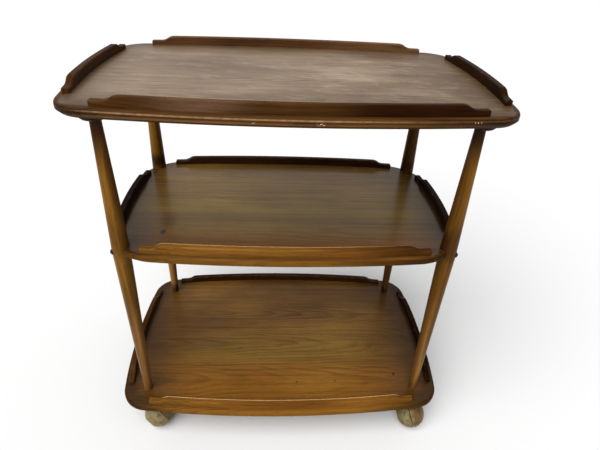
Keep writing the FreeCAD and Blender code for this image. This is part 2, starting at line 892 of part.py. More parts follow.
def make_hood(corner):
    """Hood: the other part of the ball, with an upright boss for the swivel pin."""
    rotation = wheel_rotation(corner)
    centre = ball_centre(corner)
    x, y = leg_axis(corner)
    boss_top = PLATE_BOTTOM - dim.swivel_gap
    boss_bottom = BALL_RADIUS + dim.hood_boss_sink

    dome = doc.addObject("Part::Sphere", "hood_dome")
    bind(dome, Radius=BALL_RADIUS)
    dome.Angle1 = -QUARTER_TURN
    dome.setExpression("Angle2", f"-asin({(SLIT_HALF / BALL_RADIUS).text})")
    place(dome, *centre, rotation)

    boss = doc.addObject("Part::Cylinder", "hood_boss")
    bind(boss, Radius=dim.hood_boss_diameter / 2, Height=boss_top - boss_bottom)
    place(boss, x, y, boss_bottom)

    solid = doc.addObject("Part::Fuse", "hood_solid")
    solid.Base = dome
    solid.Tool = boss

    wheel_room = doc.addObject("Part::Sphere", "wheel_room")
    bind(wheel_room, Radius=BALL_RADIUS + dim.hood_wheel_gap)
    wheel_room.setExpression("Angle1", f"-asin({(SLIT_HALF / (BALL_RADIUS + dim.hood_wheel_gap)).text})")
    wheel_room.Angle2 = QUARTER_TURN
    place(wheel_room, *centre, rotation)

    floor_room = doc.addObject("Part::Box", "floor_room")
    bind(
        floor_room,
        Length=dim.ball_diameter,
        Width=dim.ball_diameter,
        Height=dim.hood_floor_gap + dim.cut_overrun)
    place(floor_room, centre[0] - BALL_RADIUS, centre[1] - BALL_RADIUS, -dim.cut_overrun)

    pin_hole = doc.addObject("Part::Cylinder", "pin_hole")
    bind(pin_hole, Radius=PIN_HOLE_RADIUS, Height=PLATE_BOTTOM - PIN_BOTTOM + dim.swivel_gap)
    place(pin_hole, x, y, PIN_BOTTOM - dim.swivel_gap)

    axle_hole = doc.addObject("Part::Cylinder", "axle_hole")
    bind(
        axle_hole,
        Radius=dim.axle_diameter / 2 + dim.running_clearance,
        Height=dim.axle_hood_depth + dim.swivel_gap)
    inward = rotation.multVec(UP) * -1
    back = dim.axle_hood_depth + dim.swivel_gap
    place(
        axle_hole,
        centre[0] + back * inward.x,
        centre[1] + back * inward.y,
        centre[2] + back * inward.z,
        rotation)

    oil_hole = doc.addObject("Part::Cylinder", "oil_hole")
    bind(oil_hole, Radius=dim.oil_hole_diameter / 2, Height=dim.oil_hole_depth + dim.cut_overrun)
    turn = math.radians(dim.oil_hole_turn_angle.value)
    lean = math.radians(dim.oil_hole_lean_angle.value)
    outward = rotation.multVec(Vector(
        math.cos(turn) * math.cos(lean), math.sin(turn) * math.cos(lean), -math.sin(lean)))
    reach = BALL_RADIUS - dim.oil_hole_depth
    place(
        oil_hole,
        centre[0] + reach * outward.x,
        centre[1] + reach * outward.y,
        centre[2] + reach * outward.z,
        Rotation(UP, outward))

    cuts = doc.addObject("Part::MultiFuse", "hood_cuts")
    cuts.Shapes = [wheel_room, floor_room, pin_hole, axle_hole, oil_hole]
    hood = doc.addObject("Part::Cut", f"{corner}_hood")
    hood.Base = solid
    hood.Tool = cuts
    doc.recompute()
    keep(hood, f"{corner}_hood")


def make_plate_screws():
    """Screws that hold the caster plates to the bottom tray."""
    shank = dim.plate_screw_diameter / 2
    head = dim.plate_screw_head_diameter / 2
    tip = dim.plate_thickness + dim.plate_screw_bite
    head_face = -dim.plate_screw_head_height
    screws = []
    for corner in CORNERS:
        for x, y in plate_screw_places(corner):
            screw = turned(
                f"{corner}_plate_screw", (ZERO, head_face), (
                    (head, head_face),
                    (head, ZERO),
                    (shank, ZERO),
                    (shank, tip),
                    (ZERO, tip),
                    (ZERO, head_face)))
            place(screw, x, y, PLATE_BOTTOM)
            screws.append(screw)
    group("caster_plate_screws", screws)


# Assembly

def build():
    """Make every piece in its place."""
    make_top_tray()
    make_middle_tray()
    make_bottom_tray()
    for tray in TRAYS:
        for position in RAIL_TURNS:
            make_rail(tray, position)
    for corner in CORNERS:
        make_leg(corner)
        make_pad(corner)
    make_shelf_fixings()
    for corner in CORNERS:
        make_plate(corner)
        make_swivel_pin(corner)
        make_hood(corner)
        make_axle(corner)
        make_wheel(corner)
        make_tyre(corner)
    make_plate_screws()
    doc.recompute()


def check():
    """Stop if any object failed or any piece has no sound shape."""
    for item in doc.Objects:
        if "Invalid" in item.State or "Error" in item.State:
            raise RuntimeError(f"{item.Label} failed: {item.State}")
    for item in sub_parts:
        if item.Shape.isNull() or not item.Shape.isValid():
            raise RuntimeError(f"{item.Label} has no sound shape")


def write():
    """Write each piece to its own file, named after it."""
    os.makedirs("parts", exist_ok=True)
    for item in sub_parts:
        item.Shape.exportStep(f"parts/{item.Label}.step")


build()
check()
write()
print(len(sub_parts), "pieces written")
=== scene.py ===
# %% [markdown]
# A mid-century serving trolley: three bowed wooden trays with low gallery rails, four turned legs
# and four hooded ball casters. The solids already have their true shape and place, so this lesson
# is about looks: the camera, the light, and finishes that read as old lacquered wood and worn metal.

import math

import bpy
from mathutils import Color, Matrix, Vector

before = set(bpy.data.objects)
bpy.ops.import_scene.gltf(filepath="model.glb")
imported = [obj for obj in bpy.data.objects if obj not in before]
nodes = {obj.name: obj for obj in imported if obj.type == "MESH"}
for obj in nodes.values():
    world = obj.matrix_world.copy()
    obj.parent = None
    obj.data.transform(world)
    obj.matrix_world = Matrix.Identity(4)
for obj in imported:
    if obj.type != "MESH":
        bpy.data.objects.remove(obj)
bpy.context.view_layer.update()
print(len(nodes), "solids loaded")

# %% [markdown]
# The camera stands a little above the trolley and looks down at its front. Its place and turn were
# worked out from the tray edges, rails and legs in the photograph, so the render can be laid over it.
# The picture was cut from a larger one, so its optical centre is off the middle: that is the shift.

# %% Place the camera
IMAGE_WIDTH = 600
IMAGE_HEIGHT = 450
SENSOR = 36
CAMERA_PLACE = Vector((-0.02905, -0.81118, 0.95638))
CAMERA_YAW = -0.0648
CAMERA_PITCH = 0.5523
CAMERA_ROLL = 0.0482
FOCAL_PIXELS = 455.38
OPTICAL_CENTRE = (297, 210)


def make_camera():
    """A camera with the photograph's place, turn and framing."""
    level_right = Vector((math.cos(CAMERA_YAW), math.sin(CAMERA_YAW), 0))
    ahead = Vector((
        -math.sin(CAMERA_YAW) * math.cos(CAMERA_PITCH),
        math.cos(CAMERA_YAW) * math.cos(CAMERA_PITCH),
        -math.sin(CAMERA_PITCH)))
    level_up = level_right.cross(ahead)
    right = level_right * math.cos(CAMERA_ROLL) + level_up * math.sin(CAMERA_ROLL)
    up = level_up * math.cos(CAMERA_ROLL) - level_right * math.sin(CAMERA_ROLL)
    data = bpy.data.cameras.new("camera")
    data.sensor_fit = "HORIZONTAL"
    data.sensor_width = SENSOR
    data.lens = FOCAL_PIXELS / IMAGE_WIDTH * SENSOR
    data.shift_x = (IMAGE_WIDTH / 2 - OPTICAL_CENTRE[0]) / IMAGE_WIDTH
    data.shift_y = (OPTICAL_CENTRE[1] - IMAGE_HEIGHT / 2) / IMAGE_WIDTH
    camera = bpy.data.objects.new("camera", data)
    turn = Matrix((right, up, -ahead)).transposed().to_4x4()
    camera.matrix_world = Matrix.Translation(CAMERA_PLACE) @ turn
    bpy.context.scene.collection.objects.link(camera)
    bpy.context.scene.camera = camera
    return camera


print("camera lens", round(make_camera().data.lens, 2), "mm")

# %% [markdown]
# Studio light is mostly one large soft source. An even pale surround gives the sheen on the trays,
# and a wide soft light high in front, on the left, makes the floor white and shades what lies under
# the trays without being mirrored in them. Area lights would do it too, but they show as bright
# shapes in the lacquer. A plain colour transform keeps the browns as they are mixed.

# %% Light the studio
SURROUND_STRENGTH = 0.6
KEY_STRENGTH = 3.6
KEY_SOURCE = (-0.5, -0.65, 1.0)
KEY_SOFTNESS = math.radians(60)
scene = bpy.context.scene
scene.view_settings.view_transform = "Standard"


def make_surround():
    """An even pale surround."""
    world = bpy.data.worlds.new("studio")
    world.use_nodes = True
    background = world.node_tree.nodes["Background"]
    background.inputs["Color"].default_value = (1, 1, 1, 1)
    background.inputs["Strength"].default_value = SURROUND_STRENGTH
    scene.world = world


def make_key():
    """One wide soft light, the same all over the floor."""
    data = bpy.data.lights.new("key", "SUN")
    data.energy = KEY_STRENGTH
    data.angle = KEY_SOFTNESS
    key = bpy.data.objects.new("key", data)
    key.rotation_euler = Vector(KEY_SOURCE).to_track_quat("Z", "Y").to_euler()
    scene.collection.objects.link(key)


make_surround()
make_key()

# %% [markdown]
# Node trees are easier to read as sums. The first class wraps one node output, and its operators add
# Math nodes, so that a mask can be written as 1 - edge * 0.5. The second class owns the tree: every
# other kind of node comes from its node method, and the rest are short names for nodes used often.

# %% Write shader maths as Python
BEVEL_SAMPLES = 6
FLAT_AGREEMENT = 0.998
SHARP_AGREEMENT = 0.93


class Value:
    """A node output that can be used in Python sums."""

    def __init__(self, finish, socket):
        self.finish = finish
        self.socket = socket

    def __add__(self, other):
        return self.finish.maths("ADD", self, other)

    __radd__ = __add__

    def __sub__(self, other):
        return self.finish.maths("SUBTRACT", self, other)

    def __rsub__(self, other):
        return self.finish.maths("SUBTRACT", other, self)

    def __mul__(self, other):
        return self.finish.maths("MULTIPLY", self, other)

    __rmul__ = __mul__


class Finish:
    """A material under construction."""

    def __init__(self, name):
        self.material = bpy.data.materials.new(name)
        self.material.use_nodes = True
        self.tree = self.material.node_tree
        self.shader = self.tree.nodes["Principled BSDF"]

    def node(self, kind, settings=None, inputs=None, output=0):
        """Add a node: its settings first, then the values or links of its sockets."""
        item = self.tree.nodes.new(kind)
        for name, value in (settings or {}).items():
            if name == "stops":
                self.set_stops(item.color_ramp, value)
            else:
                setattr(item, name, value)
        for name, value in (inputs or {}).items():
            self.feed(item.inputs[name], value)
        return Value(self, item.outputs[output])

    def feed(self, socket, value):
        """Link a value to a socket, or set a plain number or colour on it."""
        if isinstance(value, Value):
            self.tree.links.new(value.socket, socket)
        else:
            socket.default_value = value

    def set_stops(self, ramp, stops):
        """Give a colour ramp its stops."""
        while len(ramp.elements) < len(stops):
            ramp.elements.new(1)
        for element, (position, colour) in zip(ramp.elements, stops):
            element.position = position
            element.color = colour

    def maths(self, operation, first, second=0.0):
        """One Math node."""
        return self.node("ShaderNodeMath", {"operation": operation}, {0: first, 1: second})

    def smooth(self, value, low, high):
        """A soft step from 0 at low to 1 at high."""
        return self.node(
            "ShaderNodeMapRange", {"interpolation_type": "SMOOTHSTEP"},
            {"Value": value, "From Min": low, "From Max": high, "To Min": 0.0, "To Max": 1.0})

    def between(self, value, low, high, soft):
        """1 between two limits, fading to 0 outside them."""
        return self.smooth(value, low - soft, low + soft) * self.smooth(value, high + soft, high - soft)

    def mix(self, factor, first, second, blend="MIX"):
        """Mix two colours."""
        return self.node(
            "ShaderNodeMix", {"data_type": "RGBA", "blend_type": blend},
            {0: factor, 6: first, 7: second}, 2)

    def noise(self, vector, detail=2.0, roughness=0.5):
        """Soft noise of unit scale on a stretched vector."""
        return self.node(
            "ShaderNodeTexNoise", None,
            {"Vector": vector, "Scale": 1.0, "Detail": detail, "Roughness": roughness})

    def place(self):
        """X, Y and Z of the point being shaded, in metres."""
        point = self.node("ShaderNodeTexCoord", None, None, "Object")
        parts = self.node("ShaderNodeSeparateXYZ", None, {0: point}).socket.node
        return [Value(self, output) for output in parts.outputs]

    def vector(self, x, y, z):
        """A vector from three values."""
        return self.node("ShaderNodeCombineXYZ", None, {0: x, 1: y, 2: z})

    def part(self, vector, axis):
        """One part of a vector."""
        return self.node("ShaderNodeSeparateXYZ", None, {0: vector}, axis)

    def normal(self):
        """The surface's own normal."""
        return self.node("ShaderNodeNewGeometry", None, None, "Normal")

    def rounded(self, radius):
        """The normal, with every sharp edge rounded off."""
        return self.node("ShaderNodeBevel", {"samples": BEVEL_SAMPLES}, {"Radius": radius})

    def edges(self, radius):
        """How close the point lies to a sharp edge, from 0 to 1."""
        agreement = self.node(
            "ShaderNodeVectorMath", {"operation": "DOT_PRODUCT"},
            {0: self.rounded(radius), 1: self.normal()}, "Value")
        return self.smooth(agreement, FLAT_AGREEMENT, SHARP_AGREEMENT)

    def bump(self, height, strength, distance):
        """Feed a height to the shader's normal."""
        normal = self.node(
            "ShaderNodeBump", None, {"Height": height, "Strength": strength, "Distance": distance})
        self.feed(self.shader.inputs["Normal"], normal)

    def close(self, **inputs):
        """Set the shader's sockets by name, with underscores for spaces."""
        for name, value in inputs.items():
            self.feed(self.shader.inputs[name.replace("_", " ")], value)
        return self.material


print("shader maths ready")

# %% [markdown]
# Old stain and old lacquer are never one flat colour. Three tones and a slow noise give the clouds.
# Colours are picked on screen and turned into the linear light that a shader takes, so that they can
# be written as they look.

# %% Pick colours


def shade(red, green, blue):
    """A colour picked on screen, from 0 to 255, as the linear colour that a shader takes."""
    picked = Color((red / 255, green / 255, blue / 255))
    return (*picked.from_srgb_to_scene_linear(), 1.0)


def toned(finish, cloud, tones, spread):
    """A dark, a middle and a light tone, told apart by a cloud value about a half."""
    positions = (0.5 - spread, 0.5, 0.5 + spread)
    stops = [(position, shade(*tone)) for position, tone in zip(positions, tones)]
    return finish.node("ShaderNodeValToRGB", {"stops": stops}, {0: cloud})


print("a mid brown is", [round(part, 3) for part in shade(110, 72, 40)])

# %% [markdown]
# The trolley is made of a coarse, ring-porous wood. A board cut beside the heart of a log shows its
# growth rings as long arches: the distance from a slightly tilted line through the log gives exactly
# that, once slow noise has bent it. Plain wave bands would be simpler, but they never close into
# arches. Streaks, fine fibres and short dark pores follow the grain: each is noise, stretched.

# %% Grow the wood
RING_BEND = 0.035
RING_SWAY = 0.03
LATE_WOOD = (0.35, 0.92)
RING_CLOSE = (1.0, 0.94)
RINGS_SHOW = (0.3, 0.6)
STREAKS_SHOW = (0.4, 0.8)
PORES_SHOW = (0.62, 0.72)


def grain_coordinates(finish, direction):
    """Distances along the grain, across it and into the log."""
    x, y, z = finish.place()
    return {"X": (x, y, z), "Y": (y, x, z), "Z": (z, x, y)}[direction]


def grain_noise(finish, grain, lengthways, sideways, detail, roughness=0.5, shift=0.0):
    """Noise with so many swings to the metre along the grain and across it. The shift moves it along
    the grain, to tell it from others."""
    along, across, depth = grain
    stretched = finish.vector(along * lengthways + shift, across * sideways, depth * sideways)
    return finish.noise(stretched, detail, roughness)


def growth_rings(finish, grain, heart, tilt, spacing):
    """Dark late-wood lines of the growth rings, from 0 to 1."""
    along, across, depth = grain
    across_heart, depth_heart = heart
    bend = grain_noise(finish, grain, lengthways=2.6, sideways=7.0, detail=3.0)
    sway = grain_noise(finish, grain, lengthways=3.4, sideways=9.0, detail=3.0, shift=7.0)
    aside = across - across_heart + (bend - 0.5) * RING_BEND
    height = depth - depth_heart + along * tilt + (sway - 0.5) * RING_SWAY
    distance = finish.maths("SQRT", aside * aside + height * height)
    ripple = grain_noise(finish, grain, lengthways=14.0, sideways=60.0, detail=2.0)
    ring = finish.maths("FRACT", distance * (1 / spacing) + ripple * 0.5)
    clear = finish.noise(finish.vector(along * 5.0, across * 16.0 + 3.0, depth * 16.0))
    line = finish.smooth(ring, *LATE_WOOD) * finish.smooth(ring, *RING_CLOSE)
    return line * finish.smooth(clear, *RINGS_SHOW)


def streaks(finish, grain):
    """Long darker streaks between the rings."""
    streak = grain_noise(finish, grain, lengthways=3.5, sideways=130.0, detail=4.0, roughness=0.65)
    return finish.smooth(streak, *STREAKS_SHOW)


def fibres(finish, grain):
    """Fine fibres that run with the grain."""
    return grain_noise(finish, grain, lengthways=9.0, sideways=420.0, detail=3.0, roughness=0.6)


def pores(finish, grain):
    """Short dark pores."""
    speckle = grain_noise(finish, grain, lengthways=55.0, sideways=900.0, detail=1.0)
    return finish.smooth(speckle, *PORES_SHOW)


def clouded_stain(finish, grain, seed, tones):
    """Stain in three tones, with broad clouds that are longer with the grain than across it."""
    cloud = grain_noise(
        finish, grain, lengthways=3.0, sideways=6.5, detail=3.0, roughness=0.55, shift=seed)
    return toned(finish, cloud, tones, spread=0.18)


print("wood ready")

# %% [markdown]
# Every wooden piece is finished alike: rings, streaks, fibres and pores darken its stain, and where
# hands have rubbed an edge the paler wood shows. A bevel node finds the edges: where the rounded
# normal differs from the true one, an edge is near. That needs no painting, and it follows any shape.

# %% Lacquer the wood and rub its edges
RING_BROWN = (92, 60, 34)
STREAK_BROWN = (96, 68, 42)
FIBRE_BROWN = (176, 150, 120)
PORE_BROWN = (34, 20, 9)
RINGS_DARKEN = 0.42
STREAKS_DARKEN = 0.5
FIBRES_DARKEN = 0.45
PORES_DARKEN = 0.45
SMEARS_ROUGHEN = 0.16
EDGES_ROUGHEN = 0.1
RUBBING_SHOWS = (0.62, 0.8)


def lacquered_wood(finish, grain, rings, stain, worn, edge, gloss, sheen, lacquer=0.0):
    """Grain, pores, rubbed edges and lacquer over a stain colour."""
    hair = fibres(finish, grain)
    specks = pores(finish, grain)
    lines = streaks(finish, grain)
    ringed = finish.mix(rings * RINGS_DARKEN, stain, shade(*RING_BROWN), "MULTIPLY")
    streaked = finish.mix(lines * STREAKS_DARKEN, ringed, shade(*STREAK_BROWN), "MULTIPLY")
    fibrous = finish.mix(hair * FIBRES_DARKEN, streaked, shade(*FIBRE_BROWN), "MULTIPLY")
    pored = finish.mix(specks * PORES_DARKEN, fibrous, shade(*PORE_BROWN))
    smears = grain_noise(finish, grain, lengthways=11.0, sideways=17.0, detail=4.0, roughness=0.6)
    roughness = gloss + (smears - 0.5) * SMEARS_ROUGHEN + edge * EDGES_ROUGHEN
    relief = hair * 0.4 + specks * -0.6 + rings * -0.25
    finish.bump(relief, strength=0.15, distance=0.0005)
    return finish.close(
        Base_Color=finish.mix(edge, pored, worn), Roughness=roughness,
        Specular_IOR_Level=sheen, Coat_Weight=lacquer, Coat_Roughness=gloss)


def rubbed_edges(finish, grain, radius, amount):
    """Where handling has rubbed the stain off the edges, from 0 to 1."""
    low, high = RUBBING_SHOWS
    scatter = grain_noise(finish, grain, lengthways=60.0, sideways=60.0, detail=3.0, roughness=0.65)
    return finish.edges(radius) * finish.smooth(scatter, low - amount, high - amount)


print("lacquer ready")

# %% [markdown]
# Each tray is glued up from boards about as wide as a hand. Rounding the place across the grain down
# to a whole number tells the boards apart, and a chance value for that number gives each board its
# own heart, so the rings start anew at every seam. Separate meshes would show the same, but the
# trays are single solids.

# %% Glue and stain the boards
BOARD_SEED = 3.7
HEART_FROM = 0.3
HEART_SPREAD = 0.4
HEART_DEPTH = 0.012
HEART_DEEPER = 0.03
RIGHT_SHADE_REACH = 0.32


def glued_board(finish, across, seam, width):
    """Number of the glued board that a point lies on, and a chance value for that board."""
    number = finish.maths("FLOOR", (across - seam) * (1 / width))
    chance = finish.node(
        "ShaderNodeTexWhiteNoise", {"noise_dimensions": "1D"}, {"W": number + BOARD_SEED}, "Value")
    return number, chance


def board_rings(finish, grain, seam, width, tilt, spacing):
    """Growth rings that start anew on each glued board."""
    number, chance = glued_board(finish, grain[1], seam, width)
    across_heart = (number + HEART_FROM + chance * HEART_SPREAD) * width + seam
    depth_heart = grain[2] - HEART_DEPTH - chance * HEART_DEEPER
    return growth_rings(finish, grain, (across_heart, depth_heart), tilt, spacing)


def tray_stain(finish, grain, seed, tones, right_shade):
    """Clouded stain of a tray, with a painted shade that darkens it towards its right end."""
    stain = clouded_stain(finish, grain, seed, tones)
    # painted shade, darker towards the right end
    right = finish.smooth(grain[0], 0.0, RIGHT_SHADE_REACH)
    return finish.mix(right * right_shade, stain, shade(*tones[0]), "MULTIPLY")


print("boards ready")

# %% [markdown]
# The lacquer shines on a tray's flat and is worn off its rounded rim. The normal tells the two apart,
# because it turns from upwards to sideways over the rim. A second mesh for the rim would need a seam
# there, and the real one has none.

# %% Tell the trays' rims from their flats
RIM_FLAT = 0.97
RIM_STEEP = 0.55
TRUE_FLAT = 0.998
LEFT_FADE = 0.06
RIGHT_FADE = 0.1
ENDS_DARKEN = 0.8


def rim(finish):
    """The rounded edge of a tray, from 0 on its flat to 1 on its side."""
    return finish.smooth(finish.part(finish.normal(), "Z"), RIM_FLAT, RIM_STEEP)


def flat(finish):
    """The flat of a tray, where its lacquer is whole, from 0 to 1."""
    return finish.smooth(finish.part(finish.normal(), "Z"), RIM_FLAT, TRUE_FLAT)


def rim_stain(finish, along, tone, dark_tone, left, right):
    """Colour of a tray's rim, darker at its ends. Each limit is where an end is half dark."""
    left_end = finish.smooth(along, left + LEFT_FADE, left - LEFT_FADE)
    right_end = finish.smooth(along, right - RIGHT_FADE, right + RIGHT_FADE)
    return finish.mix((left_end + right_end) * ENDS_DARKEN, shade(*tone), shade(*dark_tone))


print("rims ready")

# %% [markdown]
# Dirt and a painted shade lie beside the rails, the ends are duller than the middle, and a tray has a knot
# or specks here and there. The dirt and painted shade follow the distance from the bowed edge, which falls
# back with the square of the distance from the middle of a side. Ambient occlusion would darken corners
# too, but it would also darken what is only close to a leg.

# %% Dirty and shade the trays
SIDE_FALL = 0.202
END_FALL = 0.443
BROAD_DIRT_AND_SHADE = (0.12, 0.03)
CLOSE_DIRT_AND_SHADE = (0.04, 0.02)
DIRT_AND_SHADE_ENDS = (0.2, 0.31)
DULL_ENDS = (0.16, 0.34)
DULL_TONE = (122, 96, 80)
SPOT_NARROWER = 1.6
SPOT_CORE = 0.3


def reach(name, axis, side=max):
    """The highest place of a solid along an axis, or the lowest one with min."""
    return side(corner["XYZ".index(axis)] for corner in nodes[name].bound_box)


def edge_distance(finish, along, across, name):
    """Distance from a tray's bowed edge, measured inwards."""
    to_side = reach(name, "Y") - finish.maths("ABSOLUTE", across) - along * along * SIDE_FALL
    to_end = reach(name, "X") - finish.maths("ABSOLUTE", along) - across * across * END_FALL
    return finish.maths("MINIMUM", to_side, to_end)


def rail_dirt_and_shade(finish, inwards):
    """Dirt and shade that gather beside the rails of a tray, from 0 to 1."""
    return finish.smooth(inwards, *BROAD_DIRT_AND_SHADE) * 0.4 + finish.smooth(inwards, *CLOSE_DIRT_AND_SHADE) * 0.35


def end_dirt_and_shade(finish, along, across, name):
    """The same dirt and painted shade, only at the two ends of a tray."""
    ends = finish.smooth(finish.maths("ABSOLUTE", along), *DIRT_AND_SHADE_ENDS)
    return rail_dirt_and_shade(finish, edge_distance(finish, along, across, name)) * ends


def dull_ends(finish, along, colour, amount):
    """A tray's colour, darker towards both of its ends."""
    ends = finish.smooth(finish.maths("ABSOLUTE", along), *DULL_ENDS)
    return finish.mix(ends * amount, colour, shade(*DULL_TONE), "MULTIPLY")


def spot(finish, along, across, place, radius):
    """An oval spot on a tray, longer across the grain, from 0 outside to 1 at its middle."""
    lengthways = (along - place[0]) * SPOT_NARROWER
    sideways = across - place[1]
    distance = finish.maths("SQRT", lengthways * lengthways + sideways * sideways)
    return finish.smooth(distance, radius, radius * SPOT_CORE)


print("the top tray's flat lies", round(reach("top_tray", "Z"), 4), "m above the floor")

# %% [markdown]
# The rim of the top tray is what one would know the trolley by. Two faint lines run along it: a painted
# highlight on its upper round, broken into glints, and a rubbed line near its lower edge. At the front it
# has two chips, a reddish scrape, a grimy stretch and, near the right end, three small nicks. Noise alone
# would scatter them anywhere, so each is placed one by one: how far along the tray, and how far below its
# flat. Noise only breaks them up.

# %% Mark the top tray's rim
UPPER_HIGHLIGHT = (0.0032, 0.0052)
LOWER_LINE = (0.0085, 0.0120)
LINES_START = (-0.33, -0.24)
LINES_FADE = (0.02, 0.24)
FRONT = (-0.19, -0.2)
CHIPS = ((-0.0575, -0.0535), (0.0297, 0.0426))
CHIP_HEIGHTS = (0.0075, 0.0105)
NICKS = ((0.2562, 0.2574), (0.2603, 0.2620), (0.2655, 0.2664))
NICK_HEIGHTS = (0.0047, 0.0065)
SCRAPE = (-0.0314, -0.009)
SCRAPE_RED = (94, 46, 20)
GRIME = (-0.0015, 0.046)
GRIME_BROWN = (44, 25, 7)
SCRAPE_HEIGHTS = (0.0065, 0.0115)


def rim_highlight_and_rub_lines(finish, along, below, haze, mottle):
    """Two lines along the rim, a painted highlight above and a rubbed line below, broken up, and fainter
    towards its ends.
    """
    # the upper line is a painted highlight on the rim's round, broken into glints by the mottle
    upper = finish.between(below, *UPPER_HIGHLIGHT, soft=0.0007) * mottle * 0.85
    lower = finish.between(below, *LOWER_LINE, soft=0.0008) * haze * 0.25
    left = finish.smooth(along, *LINES_START)
    right = 1.0 - finish.smooth(along, *LINES_FADE) * 0.75
    return (upper + lower) * left * right


def front_marks(finish, grain, below):
    """Chips and three small nicks in the front edge, from 0 to 1."""
    along, across, depth = grain
    flakes = finish.noise(finish.vector(along * 280.0, across * 300.0, depth * 900.0), 2.0, 0.6)
    chipped = sum(finish.between(along, *limits, soft=0.003) for limits in CHIPS)
    nicked = sum(finish.between(along, *limits, soft=0.0003) for limits in NICKS)
    chips = chipped * finish.smooth(flakes, 0.5, 0.6) * finish.between(below, *CHIP_HEIGHTS, soft=0.0006)
    nicks = nicked * finish.between(below, *NICK_HEIGHTS, soft=0.0004) * 0.8
    return (chips + nicks) * finish.smooth(across, *FRONT)


def scraped_rim(finish, along, across, below, colour):
    """A rim's colour, with a reddish scrape and a grimy stretch beside the chips at the front."""
    front = finish.between(below, *SCRAPE_HEIGHTS, soft=0.0008) * finish.smooth(across, *FRONT)
    scraped = finish.between(along, *SCRAPE, soft=0.004) * front
    grimy = finish.between(along, *GRIME, soft=0.004) * front
    reddened = finish.mix(scraped * 0.8, colour, shade(*SCRAPE_RED))
    return finish.mix(grimy * 0.7, reddened, shade(*GRIME_BROWN))


print("marks:", len(CHIPS), "chips and", len(NICKS), "nicks")

# %% [markdown]
# The flat of the top tray is greyed by use, with pale smears in a dull lacquer that are partly a painted
# reflection of the bright surround, and it has a dark border outside the rails. The smears are only noise,
# because no one would miss one of them. The layers go on from the wood outwards: stain, smears and a
# painted shade at the back and front, dirt and painted shade beside the rails, border and rim, and last
# what is rubbed and chipped, where bare wood shows through them all, and a painted highlight along the rim.

# %% Dress the top tray
TOP_BOARDS = {"seam": -0.102, "width": 0.122, "tilt": 0.06, "spacing": 0.005}
TOP_TONES = ((106, 84, 58), (128, 105, 77), (148, 125, 96))
SMEAR_AND_REFLECTION = (181, 161, 139)
TOP_SHADE = (98, 78, 46)
SHADED_BACK = (0.08, 0.2)
SHADED_FRONT = (-0.05, -0.17)
TOP_DIRT_AND_SHADE = (74, 54, 34)
BORDER = (74, 47, 14)
BORDER_EDGE = (0.016, 0.008)
DULL_RIGHT = (-0.1, 0.3)
TOP_RIM = {"tone": (80, 50, 14), "dark_tone": (34, 17, 3), "left": -0.26, "right": 0.2}
RIM_RUB_AND_HIGHLIGHT = (170, 138, 104)
BARE_WOOD = (206, 178, 146)


def dress(material, *names):
    """Give solids a finish."""
    for name in names:
        data = nodes[name].data
        data.materials.clear()
        data.materials.append(material)


def smeared_and_reflecting_stain(finish, grain, haze, mottle):
    """Greyed stain with pale smears that are partly a painted reflection, and a painted shade at the back
    and at the front.
    """
    along, across, depth = grain
    stain = tray_stain(finish, grain, 1.0, TOP_TONES, right_shade=0.28)
    scuffs = finish.noise(finish.vector(along * 26.0 + across * 20.0, across * 44.0, depth), 5.0, 0.7)
    smears = finish.smooth(haze, 0.42, 0.72) * 0.5 + finish.smooth(scuffs, 0.5, 0.7) * 0.35
    # pale smears of hazed lacquer, partly a painted reflection of the bright surround
    smeared_and_reflecting = finish.mix(smears + mottle * 0.3 - 0.12, stain, shade(*SMEAR_AND_REFLECTION))
    # painted shade at the back and at the front
    back = finish.smooth(across, *SHADED_BACK) * 0.4
    front = finish.smooth(across, *SHADED_FRONT) * 0.35
    return finish.mix(back + front, smeared_and_reflecting, shade(*TOP_SHADE))


def top_tray_wood():
    """Greyed brown with pale smears and a chipped front edge."""
    finish = Finish("top_tray_wood")
    grain = grain_coordinates(finish, "X")
    along, across, depth = grain
    below = reach("top_tray", "Z") - depth
    haze = grain_noise(finish, grain, lengthways=5.0, sideways=12.0, detail=4.0, roughness=0.55)
    mottle = finish.noise(finish.vector(along * 120.0, across * 190.0, depth), 3.0, 0.6)
    inwards = edge_distance(finish, along, across, "top_tray")
    # dirt and painted shade beside the rails
    dirt = rail_dirt_and_shade(finish, inwards)
    dirtied_and_shaded = finish.mix(dirt, smeared_and_reflecting_stain(finish, grain, haze, mottle), shade(*TOP_DIRT_AND_SHADE))
    strip = finish.smooth(inwards, *BORDER_EDGE)
    bordered = finish.mix(strip * 0.85, dirtied_and_shaded, shade(*BORDER))
    rim_tone = scraped_rim(finish, along, across, below, rim_stain(finish, along, **TOP_RIM))
    marks = front_marks(finish, grain, below)
    lines = rim_highlight_and_rub_lines(finish, along, below, haze, mottle)
    # rubbed edges plus the rim's two lines, the upper one a painted highlight
    rubbed = rubbed_edges(finish, grain, radius=0.0016, amount=0.2) * 0.2 + lines
    edge = finish.maths("MINIMUM", finish.maths("MAXIMUM", rubbed, marks), 1.0)
    right = finish.smooth(along, *DULL_RIGHT)
    dull = (1.0 - dirt * 0.4) * (1.0 - strip * 0.8) * (1.0 - right * 0.45)
    return lacquered_wood(
        finish, grain, rings=board_rings(finish, grain, **TOP_BOARDS) * 0.7,
        stain=finish.mix(rim(finish), bordered, rim_tone),
        worn=finish.mix(marks, shade(*RIM_RUB_AND_HIGHLIGHT), shade(*BARE_WOOD)), edge=edge,
        gloss=0.42, sheen=0.03, lacquer=flat(finish) * dull)


dress(top_tray_wood(), "top_tray")
print("top tray dressed")

# %% [markdown]
# The middle tray has kept its lacquer: olive gold, browner at the back, with a greenish band across its
# middle and a more orange front, darkened by a painted shade. One knot in a reddish halo lies near its
# front left corner. Bands across the boards are soft steps, because stain fades from board to board.

